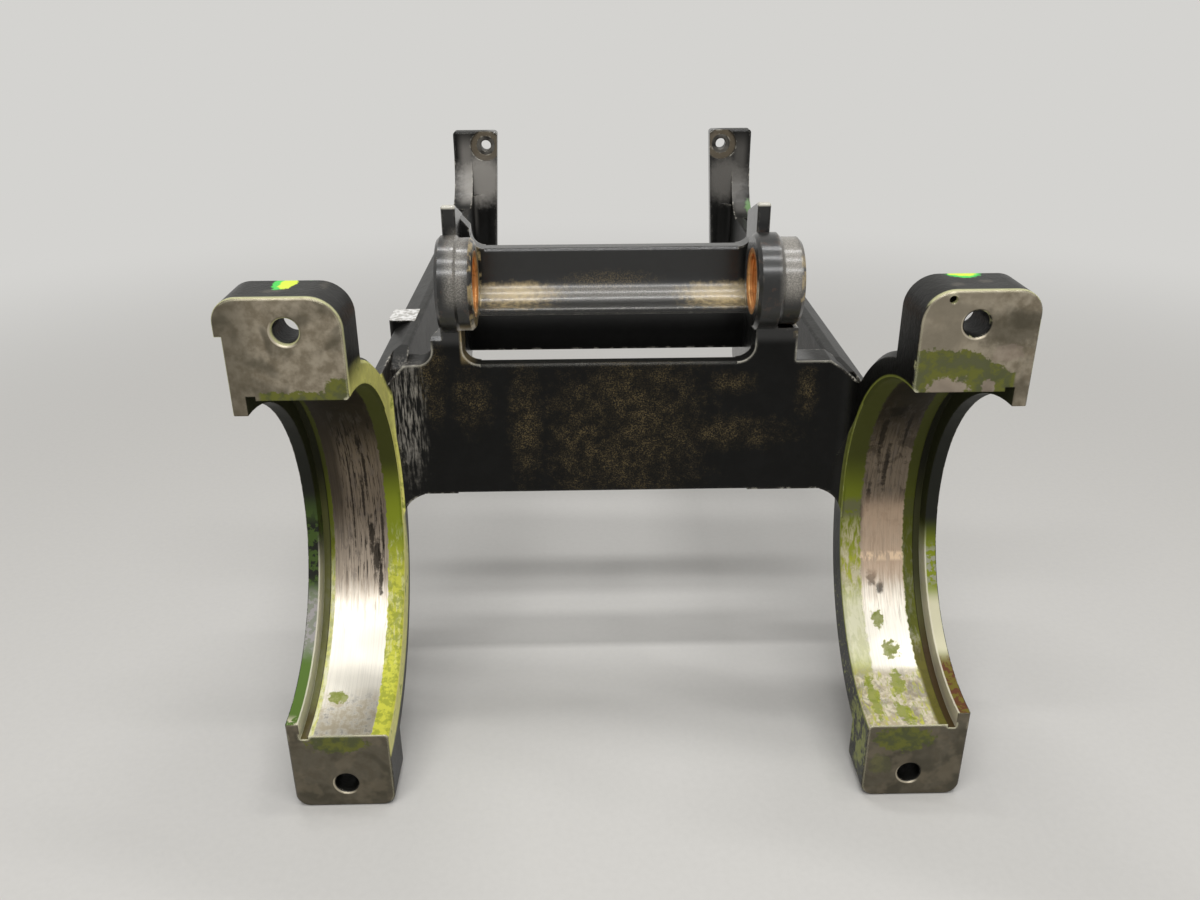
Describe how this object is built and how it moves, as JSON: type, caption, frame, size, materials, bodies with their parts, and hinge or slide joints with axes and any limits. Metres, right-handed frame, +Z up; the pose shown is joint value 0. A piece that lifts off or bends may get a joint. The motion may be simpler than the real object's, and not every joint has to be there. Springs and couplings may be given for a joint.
{
  "type": "bearing cradle bracket",
  "caption": "Black cast light-alloy cradle bracket with half-round bearing saddles at the front, a bushed trunnion above a web, and long side rails running back to rear ears.",
  "frame": {"origin": "middle of the common axis of the two half-round saddles, in the plane of the cap faces", "axes": "+X along the saddles' common axis, to the right as seen facing the saddles; +Y from the cap faces back to the rear ears; +Z up"},
  "size_m": [0.1949, 0.2865, 0.1603],
  "materials": {
    "cast_black": "semi-gloss black paint over cast aluminium, machined faces bare",
    "bronze": "plain bearing bronze, machined",
    "steel": "satin, darkened"
  },
  "bodies": {
    "root": {"cradle_frame": "cast_black", "trunnion_bushing_left": "bronze", "trunnion_bushing_right": "bronze", "ear_bushing_left": "steel", "ear_bushing_right": "steel"}
  },
  "joints": []
}
